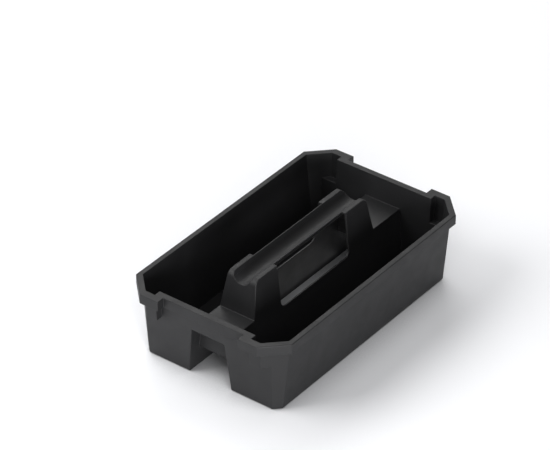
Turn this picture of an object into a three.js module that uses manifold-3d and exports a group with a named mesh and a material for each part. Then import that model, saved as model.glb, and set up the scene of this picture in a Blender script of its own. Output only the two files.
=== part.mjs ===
// Tool storage caddy: an open two-bin tray with a raised carrying handle along its middle.
// The real caddy is one thin-walled plastic moulding. Each mesh here is one moulded feature of it
// (a floor, a wall panel, a stretch of rim, the grip), and neighbours meet face to face.
//
// Frame: +Z up, origin on the ground under the centre. X runs along the handle, from the front
// end (-X) to the back end (+X). Left is +Y and right is -Y. Millimetres.

import * as THREE from "three";
import Module from "manifold-3d";
import { mergeVertices } from "three/addons/utils/BufferGeometryUtils.js";

const wasm = await Module();
wasm.setup();

// ---------- driving dimensions ----------

const WALL = 2.4; // thickness of every wall, floor, shelf and rim

// rim: a flat top with a skirt that hangs from its outer edge
const RIM_HEIGHT = 105;
const RIM_LENGTH = 400;
const RIM_WIDTH = 238;
const RIM_CHAMFER = 30;
const RIM_RECESS = 11.2; // how far the middle of each end steps inwards
const RIM_RECESS_HALF = 61; // half the length of that step
const SKIRT_DROP = 14;

// tub: outer size at the ground, and how much each plane leans out per millimetre of height
const END_AT_GROUND = 177;
const END_LEAN = 0.055;
const SIDE_AT_GROUND = 104;
const SIDE_LEAN = 0.096;
const CORNER_AT_GROUND = 271.4; // x + y on the chamfered corner
const CORNER_LEAN = 0.087;

// pockets: the ends bulge out beside each corner, above a ledge
const POCKET_DEPTH = 9.2;
const POCKET_EDGE = 71; // |y| where a pocket begins
const LEDGE_HEIGHT = 67; // underside of the ledge

// tunnel: the hollow hump between the two bins, open below and at both ends
const SHELF_TOP = 71;
const SHELF_HALF_WIDTH = 26.9;
const HUMP_LEAN = 0.112;

// handle: two hollow posts with a half-round grip between them
const HANDLE_TOP = 121.2;
const POST_FOOT = 122.8; // |x| of a post's end face at the shelf
const POST_LEAN = 0.2045;
const POST_ROUND = 9.5; // radius between a post's end face and its top
const WINDOW_HALF = 70;
const WINDOW_SILL = 60;
const WINDOW_RADIUS = 9;
const GROOVE_RADIUS = 14.3;
const GROOVE_CENTRE = HANDLE_TOP + 2.4;
const GRIP_WALL = 1.6;
const BEAD_TOP = HANDLE_TOP - 2.8; // a thin bead runs along the outside of the grip
const BEAD_HEIGHT = 0.9;
const BEAD_REACH = GROOVE_RADIUS + GRIP_WALL + 0.7;
const GROOVE_STEPS = 20;
const CORNER_STEPS = 6;

// ribs: two walls across the tunnel under each shelf
const INNER_RIB = 121; // |x| of the face towards the middle
const INNER_RIB_BOTTOM = 46.5;
const OUTER_RIB = 158.6;
const OUTER_RIB_BOTTOM = 31;

const WALL_TOP = RIM_HEIGHT - WALL;
const SKIRT_BOTTOM = RIM_HEIGHT - SKIRT_DROP;
const ROOF = SHELF_TOP - WALL;
const POST_CEILING = HANDLE_TOP - WALL;
const LONG_RIM_HALF = 160; // the straight rims end here, where the corner collars begin

// ---------- outlines ----------

const endAt = (z) => END_AT_GROUND + END_LEAN * z;
const sideAt = (z) => SIDE_AT_GROUND + SIDE_LEAN * z;
const cornerAt = (z) => CORNER_AT_GROUND + CORNER_LEAN * z;
const pocketAt = (z) => endAt(z) + POCKET_DEPTH;
const humpAt = (z) => SHELF_HALF_WIDTH + HUMP_LEAN * (SHELF_TOP - z);
const postAt = (z) => POST_FOOT - POST_LEAN * (z - SHELF_TOP);
const postInnerAt = (z) => postAt(z) - WALL * Math.hypot(1, POST_LEAN);

const ROUND_Z = HANDLE_TOP - POST_ROUND;
const ROUND_X = postAt(ROUND_Z) - POST_ROUND * Math.hypot(1, POST_LEAN);

// The curve from a post's end face to its flat top, moved inwards by a distance, as [x, z].
function postCurve(inwards = 0) {
  const start = Math.atan(POST_LEAN);
  const radius = POST_ROUND - inwards;
  const points = [];
  for (let i = 0; i <= CORNER_STEPS; i++) {
    const turn = start + (i / CORNER_STEPS) * (Math.PI / 2 - start);
    points.push([ROUND_X + radius * Math.cos(turn), ROUND_Z + radius * Math.sin(turn)]);
  }
  return points;
}

// The tub's planes at height z, moved inwards by a distance.
function tub(z, inwards = 0) {
  return {
    end: endAt(z) - inwards,
    side: sideAt(z) - inwards,
    corner: cornerAt(z) - inwards * Math.SQRT2,
    pocket: pocketAt(z) - inwards,
    edge: POCKET_EDGE + inwards,
  };
}

// The rim's outer planes, moved inwards by a distance.
function rim(inwards = 0) {
  const halfLength = RIM_LENGTH / 2;
  const halfWidth = RIM_WIDTH / 2;
  return {
    end: halfLength - RIM_RECESS - inwards,
    side: halfWidth - inwards,
    corner: halfLength + halfWidth - RIM_CHAMFER - inwards * Math.SQRT2,
    pocket: halfLength - inwards,
    edge: RIM_RECESS_HALF + inwards,
  };
}

// Corner points of one quadrant, from the long side round to the middle of the end.
const sideCorner = (o) => [o.corner - o.side, o.side];
const endCorner = (o) => [o.end, o.corner - o.end];
const pocketCorner = (o) => [o.pocket, o.corner - o.pocket];
const pocketStep = (o) => [o.pocket, o.edge];
const endStep = (o) => [o.end, o.edge];

const at = (z, points) => points.map(([x, y]) => [x, y, z]);

// ---------- solids ----------

function normalOf(loop) {
  const normal = new THREE.Vector3();
  loop.forEach((p, i) => {
    const q = loop[(i + 1) % loop.length];
    normal.x += (p[1] - q[1]) * (p[2] + q[2]);
    normal.y += (p[2] - q[2]) * (p[0] + q[0]);
    normal.z += (p[0] - q[0]) * (p[1] + q[1]);
  });
  return normal;
}

// Triangles of a flat loop, seen along its widest axis.
function capOf(loop) {
  const n = normalOf(loop);
  const sizes = [Math.abs(n.x), Math.abs(n.y), Math.abs(n.z)];
  const drop = sizes.indexOf(Math.max(...sizes));
  const [u, v] = [0, 1, 2].filter((axis) => axis !== drop);
  const flat = loop.map((p) => new THREE.Vector2(p[u], p[v]));
  const faces = THREE.ShapeUtils.triangulateShape(flat, []);
  const turned = THREE.ShapeUtils.isClockWise(flat);
  return turned ? faces.map(([a, b, c]) => [a, c, b]) : faces;
}

function signedVolume(points, faces) {
  const corner = faces.map((face) => face.map((i) => new THREE.Vector3(...points[i])));
  return corner.reduce((sum, [a, b, c]) => sum + a.dot(b.clone().cross(c)) / 6, 0);
}

// A closed solid between two loops with matching points.
function plate(lower, upper) {
  const count = lower.length;
  const points = [...lower, ...upper];
  const cap = capOf(lower);
  const capFlips = new Set();
  const faces = [];
  for (let i = 0; i < count; i++) {
    const j = (i + 1) % count;
    faces.push([i, j, count + j], [i, count + j, count + i]);
    capFlips.add(`${j},${i}`);
  }
  // the lower cap runs against the sides, and the upper cap with them
  const edgeOf = ([a, b, c]) => [`${a},${b}`, `${b},${c}`, `${c},${a}`];
  const against = cap.some((face) => edgeOf(face).some((edge) => capFlips.has(edge)));
  for (const [a, b, c] of cap) {
    faces.push(against ? [a, b, c] : [a, c, b]);
    faces.push(against ? [count + a, count + c, count + b] : [count + a, count + b, count + c]);
  }
  const outwards = signedVolume(points, faces) > 0;
  const geometry = new THREE.BufferGeometry();
  geometry.setAttribute("position", new THREE.Float32BufferAttribute(points.flat(), 3));
  geometry.setIndex(faces.flatMap(([a, b, c]) => (outwards ? [a, b, c] : [a, c, b])));
  return geometry;
}

function toSolid(geometry) {
  const merged = mergeVertices(geometry);
  return new wasm.Manifold(
    new wasm.Mesh({
      numProp: 3,
      vertProperties: merged.attributes.position.array,
      triVerts: new Uint32Array(merged.index.array),
    }),
  );
}

function fromSolid(solid) {
  const mesh = solid.getMesh();
  const geometry = new THREE.BufferGeometry();
  geometry.setAttribute("position", new THREE.BufferAttribute(mesh.vertProperties, 3));
  geometry.setIndex(new THREE.BufferAttribute(mesh.triVerts, 1));
  return geometry;
}

const join = (...geometries) => fromSolid(geometries.map(toSolid).reduce((sum, next) => sum.add(next)));
const cut = (geometry, tool) => fromSolid(toSolid(geometry).subtract(toSolid(tool)));
const overlap = (first, second) => fromSolid(toSolid(first).intersect(toSolid(second)));

const mirror = (loop, sx, sy) => loop.map(([x, y, z]) => [x * sx, y * sy, z]);

// ---------- the tub ----------

// A bin's floor reaches from the tunnel to the outside of the tub, under all the walls.
function floor() {
  const loop = (z) => {
    const o = tub(z);
    const right = [[o.end, humpAt(z) - WALL], endCorner(o), sideCorner(o)];
    const left = right.map(([x, y]) => [-x, y]).reverse();
    return at(z, [...right, ...left]);
  };
  return [loop(0), loop(WALL)];
}

function longWall() {
  const face = (inwards) =>
    [WALL, WALL_TOP].flatMap((z, level) => {
      const [x, y] = sideCorner(tub(z, inwards));
      const row = at(z, [[x, y], [-x, y]]);
      return level ? row.reverse() : row;
    });
  return [face(0), face(WALL)];
}

// The chamfered corner panel is wider above the ledge, where it meets the pocket.
function cornerColumn() {
  const face = (inwards) => {
    const point = (z, corner) => at(z, [corner(tub(z, inwards))])[0];
    return [
      point(WALL, sideCorner),
      point(WALL, endCorner),
      point(LEDGE_HEIGHT, endCorner),
      point(LEDGE_HEIGHT, pocketCorner),
      point(WALL_TOP, pocketCorner),
      point(WALL_TOP, sideCorner),
    ];
  };
  return [face(0), face(WALL)];
}

function lowerEndPanel() {
  const face = (inwards) => {
    const inner = (z) => [tub(z, inwards).end, humpAt(z) - WALL, z];
    const outer = (z) => at(z, [endCorner(tub(z, inwards))])[0];
    return [inner(WALL), outer(WALL), outer(LEDGE_HEIGHT), inner(LEDGE_HEIGHT)];
  };
  return [face(0), face(WALL)];
}

// The upper end panel spans both bins and is notched over the tunnel's mouth.
function upperEndPanel() {
  const face = (inwards) => {
    const half = [
      [POCKET_EDGE, WALL_TOP],
      [POCKET_EDGE, LEDGE_HEIGHT],
      [humpAt(LEDGE_HEIGHT) - WALL, LEDGE_HEIGHT],
      [humpAt(ROOF) - WALL, ROOF],
    ];
    const other = half.map(([y, z]) => [-y, z]).reverse();
    return [...half, ...other].map(([y, z]) => [tub(z, inwards).end, y, z]);
  };
  return [face(0), face(WALL)];
}

// A pocket is a bulge of three panels: its end, its side and the ledge below it.
function pocket(sx, sy) {
  const innerLoop = (z) => {
    const o = tub(z, WALL);
    return at(z, [endStep(o), pocketStep(o), pocketCorner(o), endCorner(o)]);
  };
  const sideLoop = (z) => {
    const [out, inn] = [tub(z), tub(z, WALL)];
    const corners = [[inn.end, out.edge], [out.pocket, out.edge], [out.pocket, inn.edge]];
    return at(z, [...corners, [inn.end, inn.edge]]);
  };
  const endLoop = (z) => {
    const [out, inn] = [tub(z), tub(z, WALL)];
    return at(z, [[inn.pocket, inn.edge], [out.pocket, inn.edge], pocketCorner(out), pocketCorner(inn)]);
  };
  const between = (loop, z1, z2) => plate(mirror(loop(z1), sx, sy), mirror(loop(z2), sx, sy));
  return join(
    between(innerLoop, LEDGE_HEIGHT, LEDGE_HEIGHT + WALL),
    between(sideLoop, LEDGE_HEIGHT, WALL_TOP),
    between(endLoop, LEDGE_HEIGHT, WALL_TOP),
  );
}

// ---------- the rim ----------

// Section of a straight rim: the top flange with its skirt, as [distance out, height].
function rimSection(outerFace, innerFaceAt) {
  return [
    [innerFaceAt(RIM_HEIGHT), RIM_HEIGHT],
    [outerFace, RIM_HEIGHT],
    [outerFace, SKIRT_BOTTOM],
    [outerFace - WALL, SKIRT_BOTTOM],
    [outerFace - WALL, WALL_TOP],
    [innerFaceAt(WALL_TOP), WALL_TOP],
  ];
}

function longRim() {
  const section = rimSection(rim().side, (z) => tub(z, WALL).side);
  return [-LONG_RIM_HALF, LONG_RIM_HALF].map((x) => section.map(([y, z]) => [x, y, z]));
}

function endRim() {
  const section = rimSection(rim().end, (z) => tub(z, WALL).end);
  return [-RIM_RECESS_HALF, RIM_RECESS_HALF].map((y) => section.map(([x, z]) => [x, y, z]));
}

// A collar carries the rim round a chamfered corner and in again at the recess.
function cornerCollar(sx, sy) {
  const outer = rim();
  const skirt = rim(WALL);
  const outerRow = [[LONG_RIM_HALF, outer.side], sideCorner(outer), pocketCorner(outer), pocketStep(outer)];
  const topLoop = (z) => {
    const o = tub(z, WALL);
    const innerRow = [[o.end, outer.edge], endStep(o), pocketStep(o), pocketCorner(o), sideCorner(o)];
    return at(z, [...outerRow, endStep(outer), ...innerRow, [LONG_RIM_HALF, o.side]]);
  };
  const skirtInner = [[skirt.end, outer.edge], endStep(skirt), pocketStep(skirt), pocketCorner(skirt)];
  const skirtEnd = [sideCorner(skirt), [LONG_RIM_HALF, skirt.side]];
  const skirtLoop = (z) => at(z, [...outerRow, endStep(outer), ...skirtInner, ...skirtEnd]);
  const between = (loop, z1, z2) => plate(mirror(loop(z1), sx, sy), mirror(loop(z2), sx, sy));
  return join(between(topLoop, WALL_TOP, RIM_HEIGHT), between(skirtLoop, SKIRT_BOTTOM, WALL_TOP));
}

// ---------- the tunnel and the handle ----------

// A panel in the hump's sloping side, from its outline as [x, z].
function humpPanel(outline) {
  const face = (inwards) => outline.map(([x, z]) => [x, humpAt(z) - inwards, z]);
  return [face(0), face(WALL)];
}

function tunnelSide() {
  const reach = (z) => tub(z, WALL).end;
  const row = [[reach(WALL), WALL], [reach(WINDOW_SILL), WINDOW_SILL]];
  return humpPanel([...row, ...row.map(([x, z]) => [-x, z]).reverse()]);
}

// A post's side reaches from the window to the end wall, under the shelf.
function postSide() {
  const centreX = WINDOW_HALF - WINDOW_RADIUS;
  const centreZ = WINDOW_SILL + WINDOW_RADIUS;
  const roundedCorner = [];
  for (let i = 0; i <= CORNER_STEPS; i++) {
    const turn = (i / CORNER_STEPS) * (Math.PI / 2);
    const x = centreX + WINDOW_RADIUS * Math.cos(turn);
    roundedCorner.push([x, i < CORNER_STEPS ? centreZ - WINDOW_RADIUS * Math.sin(turn) : WINDOW_SILL]);
  }
  return humpPanel([
    [tub(WINDOW_SILL, WALL).end, WINDOW_SILL],
    [tub(ROOF, WALL).end, ROOF],
    [postInnerAt(ROOF), ROOF],
    ...postCurve(WALL),
    [WINDOW_HALF, POST_CEILING],
    ...roundedCorner,
  ]);
}

function shelf() {
  const loop = (z) => {
    const near = postInnerAt(z);
    const far = tub(z, WALL).end;
    const half = humpAt(z);
    return at(z, [[near, half], [far, half], [far, -half], [near, -half]]);
  };
  return [loop(ROOF), loop(SHELF_TOP)];
}

function rib(face, bottom) {
  const loop = (z) => {
    const half = humpAt(z) - WALL;
    return at(z, [[face, half], [face + WALL, half], [face + WALL, -half], [face, -half]]);
  };
  return [loop(bottom), loop(ROOF)];
}

// Points of the groove's circle from one height on the right round to the same on the left.
function grooveArc(radius, fromHeight) {
  const start = Math.asin((GROOVE_CENTRE - fromHeight) / radius);
  const points = [];
  for (let i = 0; i <= GROOVE_STEPS; i++) {
    const turn = start + (i / GROOVE_STEPS) * (Math.PI - 2 * start);
    points.push([-radius * Math.cos(turn), GROOVE_CENTRE - radius * Math.sin(turn)]);
  }
  return points;
}

const grooveEdge = grooveArc(GROOVE_RADIUS, HANDLE_TOP).at(-1)[0];
const underEdge = grooveArc(GROOVE_RADIUS + GRIP_WALL, POST_CEILING).at(-1)[0];

// A solid of one section across the caddy, as [y, z], from one x to another.
const alongX = (section, x1, x2) => plate(...[x1, x2].map((x) => section.map(([y, z]) => [x, y, z])));

// A post's end wall stands on the shelf and curves over into the top. The groove runs out through it.
function postEnd(sx) {
  const outer = [[postAt(SHELF_TOP), SHELF_TOP], ...postCurve()];
  const inner = [[postInnerAt(SHELF_TOP), SHELF_TOP], ...postCurve(WALL)];
  const band = [...outer, ...inner.reverse()];
  const face = (sy) => band.map(([x, z]) => [x * sx, sy * humpAt(z), z]);
  const arc = grooveArc(GROOVE_RADIUS, HANDLE_TOP);
  const above = HANDLE_TOP + POST_ROUND;
  const groove = [...arc, [grooveEdge, above], [-grooveEdge, above]];
  return cut(plate(face(1), face(-1)), alongX(groove, sx * WINDOW_HALF, sx * POST_FOOT));
}

// The flat strip on top of a post, beside the groove.
function postStrip() {
  const loop = (z, y) => {
    const far = humpAt(z);
    return at(z, [[WINDOW_HALF, y], [ROUND_X, y], [ROUND_X, far], [WINDOW_HALF, far]]);
  };
  return [loop(POST_CEILING, underEdge), loop(HANDLE_TOP, grooveEdge)];
}

// The grip is a trough. Between the posts it has flat lips and a bead along each side, over the
// posts it meets the strips, and it ends on the inside of the posts' end walls.
function grip() {
  const inside = grooveArc(GROOVE_RADIUS, HANDLE_TOP);
  const outside = (fromHeight) => grooveArc(GROOVE_RADIUS + GRIP_WALL, fromHeight).reverse();
  const lipped = [...inside, ...outside(HANDLE_TOP)];
  const buried = [...inside, ...outside(POST_CEILING)];
  const pieces = [alongX(lipped, -WINDOW_HALF, WINDOW_HALF)];
  for (const sy of [1, -1]) {
    const bead = [[GROOVE_RADIUS, BEAD_TOP], [BEAD_REACH, BEAD_TOP]];
    const below = bead.map(([y, z]) => [y, z - BEAD_HEIGHT]).reverse();
    const section = [...bead, ...below].map(([y, z]) => [sy * y, z]);
    pieces.push(alongX(section, -WINDOW_HALF, WINDOW_HALF));
  }
  const floorHeight = GROOVE_CENTRE - GROOVE_RADIUS - 2 * GRIP_WALL;
  const hollow = [[ROUND_X, floorHeight], [postInnerAt(floorHeight), floorHeight], ...postCurve(WALL)];
  for (const sx of [1, -1]) {
    const face = (y) => hollow.map(([x, z]) => [x * sx, y, z]);
    const room = plate(face(humpAt(HANDLE_TOP)), face(-humpAt(HANDLE_TOP)));
    pieces.push(alongX(buried, sx * WINDOW_HALF, sx * ROUND_X));
    pieces.push(overlap(alongX(buried, sx * ROUND_X, sx * POST_FOOT), room));
  }
  return join(...pieces);
}

// ---------- the caddy ----------

const black = () => new THREE.MeshStandardMaterial({ color: "#242527", roughness: 0.62, metalness: 0 });
const caddy = new THREE.Group();

function add(name, geometry) {
  const mesh = new THREE.Mesh(geometry, black());
  mesh.name = name;
  caddy.add(mesh);
}

const ENDS = [["front", -1], ["back", 1]];
const SIDES = [["left", 1], ["right", -1]];
const placed = (loops, sx, sy) => plate(...loops.map((loop) => mirror(loop, sx, sy)));

for (const [side, sy] of SIDES) {
  add(`bin_floor_${side}`, placed(floor(), 1, sy));
  add(`long_wall_${side}`, placed(longWall(), 1, sy));
  add(`long_rim_${side}`, placed(longRim(), 1, sy));
  add(`tunnel_side_${side}`, placed(tunnelSide(), 1, sy));
}

for (const [end, sx] of ENDS) {
  add(`upper_end_panel_${end}`, placed(upperEndPanel(), sx, 1));
  add(`end_rim_${end}`, placed(endRim(), sx, 1));
  add(`shelf_${end}`, placed(shelf(), sx, 1));
  add(`inner_rib_${end}`, placed(rib(INNER_RIB, INNER_RIB_BOTTOM), sx, 1));
  add(`outer_rib_${end}`, placed(rib(OUTER_RIB, OUTER_RIB_BOTTOM), sx, 1));
  add(`handle_post_end_${end}`, postEnd(sx));
}

for (const [end, sx] of ENDS) {
  for (const [side, sy] of SIDES) {
    add(`lower_end_panel_${end}_${side}`, placed(lowerEndPanel(), sx, sy));
    add(`corner_column_${end}_${side}`, placed(cornerColumn(), sx, sy));
    add(`corner_pocket_${end}_${side}`, pocket(sx, sy));
    add(`corner_collar_${end}_${side}`, cornerCollar(sx, sy));
    add(`handle_post_side_${end}_${side}`, placed(postSide(), sx, sy));
    add(`handle_top_strip_${end}_${side}`, placed(postStrip(), sx, sy));
  }
}

add("grip_trough", grip());

export default caddy;
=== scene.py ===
import math

import bmesh
import bpy
from mathutils import Matrix, Vector


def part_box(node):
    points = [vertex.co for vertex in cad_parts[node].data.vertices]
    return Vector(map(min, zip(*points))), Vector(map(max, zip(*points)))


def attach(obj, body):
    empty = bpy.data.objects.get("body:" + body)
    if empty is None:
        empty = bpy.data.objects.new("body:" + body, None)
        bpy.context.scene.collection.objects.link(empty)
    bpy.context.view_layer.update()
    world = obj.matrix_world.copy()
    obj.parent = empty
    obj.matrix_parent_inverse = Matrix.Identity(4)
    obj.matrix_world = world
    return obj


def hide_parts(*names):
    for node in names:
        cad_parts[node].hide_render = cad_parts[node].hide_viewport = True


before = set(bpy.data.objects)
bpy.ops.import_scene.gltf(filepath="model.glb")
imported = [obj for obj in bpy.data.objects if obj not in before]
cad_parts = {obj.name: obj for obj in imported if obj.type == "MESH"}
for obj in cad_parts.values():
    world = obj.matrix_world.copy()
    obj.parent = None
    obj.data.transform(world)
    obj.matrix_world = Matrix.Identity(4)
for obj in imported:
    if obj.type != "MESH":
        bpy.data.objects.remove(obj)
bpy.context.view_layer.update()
scene = bpy.context.scene

# ---------- dimensions, in millimetres ----------

MM = 0.001
WALL = 2.4

RIM_HEIGHT, RIM_LENGTH, RIM_WIDTH, RIM_CHAMFER = 105, 400, 238, 30
RIM_RECESS, RIM_RECESS_HALF = 11.2, 61
SKIRT_BOTTOM, WALL_TOP = RIM_HEIGHT - 14, RIM_HEIGHT - WALL

END_AT_GROUND, END_LEAN = 177, 0.055
SIDE_AT_GROUND, SIDE_LEAN = 104, 0.096
CORNER_AT_GROUND, CORNER_LEAN = 271.4, 0.087  # x + y on the chamfered corner
POCKET_DEPTH, POCKET_EDGE, LEDGE_HEIGHT = 9.2, 71, 67

SHELF_TOP, SHELF_HALF_WIDTH, HUMP_LEAN = 71, 26.9, 0.112
ROOF = SHELF_TOP - WALL
RIBS = ((121, 46.5), (158.6, 31))  # where each rib's inner face is, and its lower edge

HANDLE_TOP, POST_FOOT, POST_LEAN, POST_ROUND = 121.2, 122.8, 0.2045, 9.5
WINDOW_HALF, WINDOW_SILL, WINDOW_RADIUS = 70, 60, 9
GROOVE_RADIUS, GRIP_WALL = 14.3, 1.6
GROOVE_CENTRE = HANDLE_TOP + 2.4
BEAD_TOP, BEAD_HEIGHT = HANDLE_TOP - 2.8, 0.9
BEAD_REACH = GROOVE_RADIUS + GRIP_WALL + 0.7
BEAD_HALF = WINDOW_HALF - 1.2
GROOVE_STEPS, CORNER_STEPS = 36, 8

# Solids that pass right through the moulding, or run into its middle, reach this far.
BEYOND, ABOVE, BELOW = 250, 130, -10
MIDDLE_BLOCK = ((-150, -50, 50), (150, 50, ABOVE))
PAST_HUMP = 60

# ---------- outlines ----------

# Each plane that leans: where it is at height z, moved inwards by a distance.


def end_at(z, inwards=0):
    return END_AT_GROUND + END_LEAN * z - inwards


def side_at(z, inwards=0):
    return SIDE_AT_GROUND + SIDE_LEAN * z - inwards


def corner_at(z, inwards=0):
    return CORNER_AT_GROUND + CORNER_LEAN * z - inwards * math.sqrt(2)


def hump_at(z, inwards=0):
    return SHELF_HALF_WIDTH + HUMP_LEAN * (SHELF_TOP - z) - inwards


def post_at(z, inwards=0):
    return POST_FOOT - POST_LEAN * (z - SHELF_TOP) - inwards * math.hypot(1, POST_LEAN)


def all_round(quadrant):
    """A loop with four matching quadrants. One is given, from the long side to the end."""
    half = quadrant + [(x, -y) for x, y in reversed(quadrant)]
    return half + [(-x, -y) for x, y in half]


def tub_loop(z, inwards=0):
    """The tub's outline at height z, out to the pockets."""
    end, side, corner = end_at(z, inwards) + POCKET_DEPTH, side_at(z, inwards), corner_at(z, inwards)
    return [(x, y, z) for x, y in all_round([(corner - side, side), (end, corner - end)])]


def rim_loop(z, inwards=0):
    """The rim's outline, with its recess in the middle of each end."""
    pocket, side = RIM_LENGTH / 2 - inwards, RIM_WIDTH / 2 - inwards
    corner = (RIM_LENGTH + RIM_WIDTH) / 2 - RIM_CHAMFER - inwards * math.sqrt(2)
    edge = RIM_RECESS_HALF + inwards
    quadrant = [(corner - side, side), (pocket, corner - pocket)]
    quadrant += [(pocket, edge), (pocket - RIM_RECESS, edge)]
    return [(x, y, z) for x, y in all_round(quadrant)]


def arc(centre, radius, start, end, steps):
    """Points along an arc, both of its ends included."""
    turns = [start + (end - start) * i / steps for i in range(steps + 1)]
    return [(centre[0] + radius * math.cos(t), centre[1] + radius * math.sin(t)) for t in turns]


def both_ways(half):
    """An outline with mirrored halves. One half is given, from the right to the middle."""
    return half + [(-x, z) for x, z in reversed(half)]


def handle_outline(level, inwards=0):
    """The tunnel's side outline: a level roof with the two posts standing up from it."""
    round_z = HANDLE_TOP - POST_ROUND
    round_x = post_at(round_z, POST_ROUND)
    lean, radius = math.atan(POST_LEAN), POST_ROUND - inwards
    curve = arc((round_x, round_z), radius, lean, math.pi / 2, CORNER_STEPS)
    return both_ways([(BEYOND, BELOW), (BEYOND, level), (post_at(level, inwards), level)] + curve)


def window_outline():
    """The hand hole, which the grip closes above."""
    centre = (WINDOW_HALF - WINDOW_RADIUS, WINDOW_SILL + WINDOW_RADIUS)
    curve = arc(centre, WINDOW_RADIUS, 0, -math.pi / 2, CORNER_STEPS)
    return both_ways([(WINDOW_HALF, ABOVE)] + curve)


def groove_section(radius):
    """The groove's lower arc, carried straight up from the handle's top."""
    start = math.asin((HANDLE_TOP - GROOVE_CENTRE) / radius)
    lower = arc((0, GROOVE_CENTRE), radius, start, -math.pi - start, GROOVE_STEPS)
    return lower + [(lower[-1][0], ABOVE), (lower[0][0], ABOVE)]


# ---------- solids ----------


def solid(lower, upper):
    """A closed solid between two loops with matching points."""
    count = len(lower)
    sides = [(i, (i + 1) % count, count + (i + 1) % count, count + i) for i in range(count)]
    caps = [tuple(range(count)), tuple(range(count, 2 * count))]
    mesh = bpy.data.meshes.new("solid")
    mesh.from_pydata([*lower, *upper], [], sides + caps)
    shape = bmesh.new()
    shape.from_mesh(mesh)
    bmesh.ops.recalc_face_normals(shape, faces=shape.faces)
    shape.to_mesh(mesh)
    shape.free()
    made = bpy.data.objects.new("solid", mesh)
    scene.collection.objects.link(made)
    return made


def box(low, high):
    corners = [(low[0], low[1]), (high[0], low[1]), (high[0], high[1]), (low[0], high[1])]
    return solid(*[[(x, y, z) for x, y in corners] for z in (low[2], high[2])])


def across(outline, half_width):
    """A solid from its outline as (x, z), with a half width that may depend on z."""
    return solid(*[[(x, side * half_width(z), z) for x, z in outline] for side in (-1, 1)])


def along(section, reach):
    """A solid along the handle from its section as (y, z)."""
    return solid(*[[(x, y, z) for y, z in section] for x in (-reach, reach)])


def apply_modifiers(made):
    """Replaces an object's mesh by the mesh that its modifiers make."""
    bpy.context.view_layer.update()
    shown = made.evaluated_get(bpy.context.evaluated_depsgraph_get())
    made.data = bpy.data.meshes.new_from_object(shown)
    made.modifiers.clear()
    return made


def combine(made, operation, *tools):
    """Cuts, joins or trims an object with other solids, which are used up."""
    for tool in tools:
        step = made.modifiers.new("combine", "BOOLEAN")
        step.operation = operation
        step.solver = "MANIFOLD"
        step.object = tool
    apply_modifiers(made)
    for tool in tools:
        bpy.data.objects.remove(tool)
    return made


def tub_block(bottom, top, inwards=0):
    """The tub as a solid block, narrower in mid end and below the pockets' ledges."""
    edge, ledge = POCKET_EDGE + inwards, LEDGE_HEIGHT + inwards
    notch = both_ways([(BEYOND, BELOW), (BEYOND, ledge), (edge, ledge), (edge, ABOVE + 20)])

    def notch_at(sign):
        inner = [(sign * end_at(z, inwards), y, z) for y, z in notch]
        return solid(inner, [(sign * 2 * BEYOND, y, z) for y, z in notch])

    block = solid(tub_loop(bottom, inwards), tub_loop(top, inwards))
    return combine(block, "DIFFERENCE", notch_at(-1), notch_at(1))


def grip():
    """The grip's outside as a solid, with its bead."""
    outside = along(groove_section(GROOVE_RADIUS + GRIP_WALL), POST_FOOT)
    low = (-BEAD_HALF, -BEAD_REACH, BEAD_TOP - BEAD_HEIGHT)
    return combine(outside, "UNION", box(low, (BEAD_HALF, BEAD_REACH, BEAD_TOP)))


def ribs():
    """The walls across the tunnel below each shelf."""
    for place, bottom in RIBS:
        for near, far in ((place, place + WALL), (-place - WALL, -place)):
            yield box((near, -PAST_HUMP, bottom), (far, PAST_HUMP, SHELF_TOP))


def moulding():
    """The whole caddy: a block with rim and handle, less the bins, the tunnel and the hand hole."""
    rim = solid(rim_loop(SKIRT_BOTTOM), rim_loop(RIM_HEIGHT))
    combine(rim, "DIFFERENCE", solid(rim_loop(SKIRT_BOTTOM - 5, WALL), rim_loop(WALL_TOP, WALL)))
    body = tub_block(0, RIM_HEIGHT - WALL / 2)
    combine(body, "UNION", rim, box(*MIDDLE_BLOCK))

    bins = tub_block(WALL, ABOVE + 10, WALL)
    combine(bins, "DIFFERENCE", across(handle_outline(SHELF_TOP), hump_at))
    tunnel = across(handle_outline(ROOF, WALL), lambda z: hump_at(z, WALL))
    combine(tunnel, "DIFFERENCE", grip(), *ribs())
    window = across(window_outline(), lambda z: PAST_HUMP)
    combine(window, "DIFFERENCE", grip())
    groove = along(groove_section(GROOVE_RADIUS), POST_FOOT + 10)
    return combine(body, "DIFFERENCE", bins, tunnel, window, groove)


# ---------- rounded edges ----------

ROUND_ANGLE = math.radians(25)  # edges that turn more than this are rounded
ROUND_STEPS = 3
PLAIN_EDGE, OUTER_EDGE, BASE_EDGE = 0.6, 1.2, 3.4  # radii
SAME_POINT, SAME_PLANE = 0.001, math.radians(1)


def on_rim_outline(x, y):
    """Whether a point lies on the rim's outermost faces, away from the recess in each end."""
    corner = (RIM_LENGTH + RIM_WIDTH) / 2 - RIM_CHAMFER
    end = RIM_LENGTH / 2 - (RIM_RECESS if y < RIM_RECESS_HALF else 0)
    return max(x - end, y - RIM_WIDTH / 2, x + y - corner) > -0.1


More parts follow.
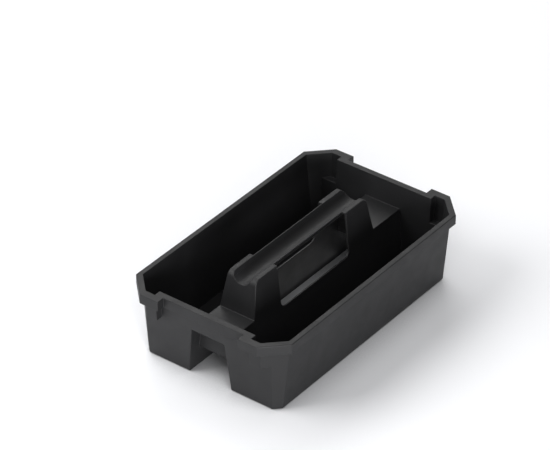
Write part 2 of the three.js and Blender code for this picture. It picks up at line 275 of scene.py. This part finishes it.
def edge_radius(edge):
    """The radius in millimetres that the moulding has along an edge."""
    a, b = (vertex.co for vertex in edge.verts)
    middle = (a + b) / 2
    x, y, z = abs(middle.x), abs(middle.y), middle.z
    if max(a.z, b.z) < WALL / 2:
        return PLAIN_EDGE if y < hump_at(0) else BASE_EDGE
    on_tunnel_mouth = x > end_at(z, WALL / 2) and y < hump_at(z) and z < ROOF + 0.1
    if on_tunnel_mouth or (min(a.z, b.z) > RIM_HEIGHT - 0.1 and on_rim_outline(x, y)):
        return OUTER_EDGE
    if y > SHELF_HALF_WIDTH or z < ROOF - 1:
        return PLAIN_EDGE
    inside_post = abs(x - post_at(ROOF, WALL)) < 1 and z < SHELF_TOP - 1
    on_bead = x < WINDOW_HALF + 1 and BEAD_TOP - BEAD_HEIGHT - 1 < z < HANDLE_TOP - 1
    if inside_post or on_bead:
        return 0
    on_post = z > SHELF_TOP + 1 and WINDOW_HALF + 1 < x < POST_FOOT
    on_groove = math.hypot(y, z - GROOVE_CENTRE) < GROOVE_RADIUS + 1
    return OUTER_EDGE if on_post and not on_groove else PLAIN_EDGE


def round_edges(made):
    """Rounds the moulding's edges, once the triangles of each flat face are one face."""
    shape = bmesh.new()
    shape.from_mesh(made.data)
    bmesh.ops.remove_doubles(shape, verts=shape.verts, dist=SAME_POINT)
    bmesh.ops.dissolve_limit(
        shape, angle_limit=SAME_PLANE, verts=shape.verts, edges=shape.edges
    )
    weight = shape.edges.layers.float.new("bevel_weight_edge")
    for edge in shape.edges:
        if edge.calc_face_angle(0) > ROUND_ANGLE:
            edge[weight] = edge_radius(edge) / BASE_EDGE
    shape.to_mesh(made.data)
    shape.free()
    bevel = made.modifiers.new("rounded edges", "BEVEL")
    bevel.limit_method = "WEIGHT"
    bevel.width = BASE_EDGE
    bevel.segments = ROUND_STEPS
    bevel.use_clamp_overlap = False
    bevel.loop_slide = False
    return apply_modifiers(made)


# ---------- pieces ----------

# The moulding is parted where its walls run straight, so the seams are hidden.
PART_X, PART_Y, PART_GRIP = 150, 45, 86
PART_FLOOR, PART_SHELF, PART_RIM = 8, 75, 88
FAR = 300
ENDS = (("front", (-FAR, -PART_X)), ("back", (PART_X, FAR)))
SIDES = (("left", (PART_Y, FAR)), ("right", (-FAR, -PART_Y)))
MIDDLE_X, MIDDLE_Y = (-PART_X, PART_X), (-PART_Y, PART_Y)
WALLS, RIMS = (PART_FLOOR, PART_RIM), (PART_RIM, FAR)
SHARP_ANGLE = math.radians(55)


def cells():
    """Every piece's name with the box that it fills, as its spans in x, y and z."""
    for side, y in SIDES:
        inner = (0, FAR) if y[1] > 0 else (-FAR, 0)
        yield f"bin_base_{side}", (-FAR, FAR), inner, (BELOW, PART_FLOOR)
        yield f"bin_wall_{side}", MIDDLE_X, y, WALLS
        yield f"rim_{side}", MIDDLE_X, y, RIMS
    for end, x in ENDS:
        yield f"tunnel_mouth_{end}", x, MIDDLE_Y, WALLS
        yield f"rim_{end}", x, MIDDLE_Y, RIMS
        post = (-PART_X, -PART_GRIP) if x[0] < 0 else (PART_GRIP, PART_X)
        yield f"handle_post_{end}", post, MIDDLE_Y, (PART_SHELF, FAR)
        for side, y in SIDES:
            yield f"corner_{end}_{side}", x, y, WALLS
            yield f"rim_corner_{end}_{side}", x, y, RIMS
    yield "tunnel", MIDDLE_X, MIDDLE_Y, (PART_FLOOR, PART_SHELF)
    yield "grip", (-PART_GRIP, PART_GRIP), MIDDLE_Y, (PART_SHELF, FAR)


def stands_for(spans):
    """The CAD nodes that reach a millimetre or more into a box."""
    def reaches(name):
        extents = zip(*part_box(name), spans)
        return all(low / MM < end - 1 and high / MM > start + 1 for low, high, (start, end) in extents)

    return [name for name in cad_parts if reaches(name)]


def smooth(made):
    """Smooth shading, flat on the faces and sharp only where the moulding is parted."""
    made.data.shade_smooth()
    made.data.set_sharp_from_angle(angle=SHARP_ANGLE)
    normals = made.modifiers.new("flat faces", "WEIGHTED_NORMAL")
    normals.keep_sharp = True
    normals.weight = 100


def part(body, material):
    """Parts the moulding into its pieces, and says what each one rides, replaces and is made of."""
    for name, *spans in cells():
        piece = bpy.data.objects.new(name, body.data.copy())
        scene.collection.objects.link(piece)
        combine(piece, "INTERSECT", box(*zip(*spans)))
        piece.data.name = name
        piece.data.transform(Matrix.Scale(MM, 4))
        smooth(piece)
        piece.data.materials.clear()
        piece.data.materials.append(material)
        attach(piece, "root")
        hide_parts(*stands_for(spans))
    bpy.data.objects.remove(body)


# ---------- camera ----------

IMAGE_WIDTH = 550
FOCAL_PIXELS = 3325.1
SENSOR = 36.0
AZIMUTH = math.radians(-52.69)
ELEVATION = math.radians(34.75)
AIM_RIGHT, AIM_UP, DISTANCE = -0.02838, 0.10969, 4.15919


def camera():
    """A long lens that looks down on the front right corner."""
    back = Vector((
        math.sin(AZIMUTH) * math.cos(ELEVATION),
        -math.cos(AZIMUTH) * math.cos(ELEVATION),
        math.sin(ELEVATION),
    ))
    right = Vector((math.cos(AZIMUTH), math.sin(AZIMUTH), 0))
    up = back.cross(right)
    data = bpy.data.cameras.new("camera")
    data.sensor_fit = "HORIZONTAL"
    data.sensor_width = SENSOR
    data.lens = FOCAL_PIXELS / IMAGE_WIDTH * SENSOR
    data.clip_start, data.clip_end = 0.1, 50
    eye = bpy.data.objects.new("camera", data)
    turn = Matrix((right, up, back)).transposed()
    place = right * AIM_RIGHT + up * AIM_UP + back * DISTANCE
    eye.matrix_world = Matrix.Translation(place) @ turn.to_4x4()
    scene.collection.objects.link(eye)
    scene.camera = eye


# ---------- materials ----------

SPECULAR = 0.38
FRESH, RUBBED = (0.009, 0.009, 0.0098), (0.012, 0.012, 0.0128)
ROUGH_LOW, ROUGH_HIGH = 0.5, 0.6
CLOUD_SCALE, SMEAR_SCALE, GRAIN_SCALE = 14, 38, 1400
NOISE_LOW, NOISE_HIGH = 0.3, 0.7  # the middle of a noise's values, where most of them lie
GRAIN_STRENGTH, GRAIN_DEPTH = 0.25, 0.0001

# The paper's colour, and the dark colour that paints a contact shadow into it.
PAPER, PAPER_PAINTED_SHADOW = (0.93, 0.935, 0.955), (0.035, 0.035, 0.04)
PAPER_ROUGHNESS = 0.9
PAINTED_SHADOW_REACH, PAINTED_SHADOW_OPEN = 0.1, 0.65  # the painted contact shadow's reach, and where it has faded out
FLOOR_SIZE = 30


def plastic():
    """Matt black polypropylene with a fine moulded grain, a little greyer where it has been rubbed."""
    made = bpy.data.materials.new("moulded_plastic")
    made.use_nodes = True
    nodes, links = made.node_tree.nodes, made.node_tree.links
    shader = nodes["Principled BSDF"]
    shader.inputs["Specular IOR Level"].default_value = SPECULAR
    place = nodes.new("ShaderNodeTexCoord").outputs["Object"]

    def noise(scale, detail=2.0):
        texture = nodes.new("ShaderNodeTexNoise")
        texture.inputs["Scale"].default_value = scale
        texture.inputs["Detail"].default_value = detail
        links.new(place, texture.inputs["Vector"])
        return texture.outputs["Fac"]

    def spread(value, low, high):
        ranged = nodes.new("ShaderNodeMapRange")
        limits = {"From Min": NOISE_LOW, "From Max": NOISE_HIGH, "To Min": low, "To Max": high}
        for limit, level in limits.items():
            ranged.inputs[limit].default_value = level
        links.new(value, ranged.inputs["Value"])
        return ranged.outputs["Result"]

    tint = nodes.new("ShaderNodeMix")
    tint.data_type = "RGBA"
    tint.inputs["A"].default_value = (*FRESH, 1)
    tint.inputs["B"].default_value = (*RUBBED, 1)
    links.new(spread(noise(CLOUD_SCALE, 4), 0, 1), tint.inputs["Factor"])
    links.new(tint.outputs["Result"], shader.inputs["Base Color"])
    links.new(spread(noise(SMEAR_SCALE, 3), ROUGH_LOW, ROUGH_HIGH), shader.inputs["Roughness"])

    grain = nodes.new("ShaderNodeBump")
    grain.inputs["Strength"].default_value = GRAIN_STRENGTH
    grain.inputs["Distance"].default_value = GRAIN_DEPTH
    links.new(noise(GRAIN_SCALE), grain.inputs["Height"])
    links.new(grain.outputs["Normal"], shader.inputs["Normal"])
    return made


def paper():
    """Pale studio paper with a soft contact shadow painted into its colour, darker where things stand
    close over it.
    """
    made = bpy.data.materials.new("paper")
    made.use_nodes = True
    nodes, links = made.node_tree.nodes, made.node_tree.links
    shader = nodes["Principled BSDF"]
    shader.inputs["Roughness"].default_value = PAPER_ROUGHNESS
    shader.inputs["Specular IOR Level"].default_value = 0.0
    # Painted shadow: ambient occlusion darkens the paper's base colour towards the painted shadow
    # colour.
    nearness = nodes.new("ShaderNodeAmbientOcclusion")
    nearness.inputs["Distance"].default_value = PAINTED_SHADOW_REACH
    open_share = nodes.new("ShaderNodeMapRange")
    open_share.inputs["From Max"].default_value = PAINTED_SHADOW_OPEN
    links.new(nearness.outputs["AO"], open_share.inputs["Value"])
    painted_shadow_tone = nodes.new("ShaderNodeMix")
    painted_shadow_tone.data_type = "RGBA"
    painted_shadow_tone.inputs["A"].default_value = (*PAPER_PAINTED_SHADOW, 1)
    painted_shadow_tone.inputs["B"].default_value = (*PAPER, 1)
    links.new(open_share.outputs["Result"], painted_shadow_tone.inputs["Factor"])
    links.new(painted_shadow_tone.outputs["Result"], shader.inputs["Base Color"])
    return made


def floor():
    bpy.ops.mesh.primitive_plane_add(size=FLOOR_SIZE)
    ground = bpy.context.object
    ground.name = "floor"
    ground.data.materials.append(paper())


# ---------- light ----------

# Round softboxes in a ring: which way each stands, how high, and its power in watts.
SOFTBOX_SIZE, SOFTBOX_DISTANCE = 2.0, 3.2
SOFTBOXES = (
    (0, 19, 15),
    (0, 88, 10),
    (45, 42, 36),
    (90, 42, 24),
    (135, 19, 6),
    (135, 42, 56),
    (225, 42, 34),
)
# A low strip in front of the near corner.
STRIP_SIZE, STRIP_PLACE, STRIP_POWER = (1.4, 0.7), (229, 2.5, 0.38), 58
# The light that the paper throws up inside the tunnel.
BOUNCE_SIZE, BOUNCE_HEIGHT, BOUNCE_POWER = (0.26, 0.056), 0.002, 0.014
CENTRE, MID_HEIGHT, OVERHEAD = Vector((0, 0, 0)), Vector((0, 0, 0.06)), Vector((0, 0, 1))


def lamp(name, shape, size, place, aim, power):
    """An area lamp that the camera doesn't see."""
    data = bpy.data.lights.new(name, "AREA")
    data.shape = shape
    data.size, data.size_y = size
    data.energy = power
    made = bpy.data.objects.new(name, data)
    made.location = place
    made.rotation_euler = (aim - made.location).to_track_quat("-Z", "Y").to_euler()
    made.visible_camera = False
    scene.collection.objects.link(made)


def around(heading, distance, height):
    """A place at a distance from the caddy's middle, with its heading in degrees."""
    turn = math.radians(heading)
    return Vector((distance * math.cos(turn), distance * math.sin(turn), height))


def lights():
    world = bpy.data.worlds.new("studio")
    world.use_nodes = True
    world.node_tree.nodes["Background"].inputs["Strength"].default_value = 0
    scene.world = world
    for heading, rise, power in SOFTBOXES:
        turn = math.radians(rise)
        place = around(heading, SOFTBOX_DISTANCE * math.cos(turn), SOFTBOX_DISTANCE * math.sin(turn))
        size = (SOFTBOX_SIZE, SOFTBOX_SIZE)
        lamp(f"softbox_{heading}_{rise}", "DISK", size, place, CENTRE, power)
    lamp("strip", "RECTANGLE", STRIP_SIZE, around(*STRIP_PLACE), MID_HEIGHT, STRIP_POWER)
    under = Vector((0, 0, BOUNCE_HEIGHT))
    lamp("bounce", "RECTANGLE", BOUNCE_SIZE, under, OVERHEAD, BOUNCE_POWER)


part(round_edges(moulding()), plastic())
camera()
floor()
lights()
scene.view_settings.view_transform = "Standard"
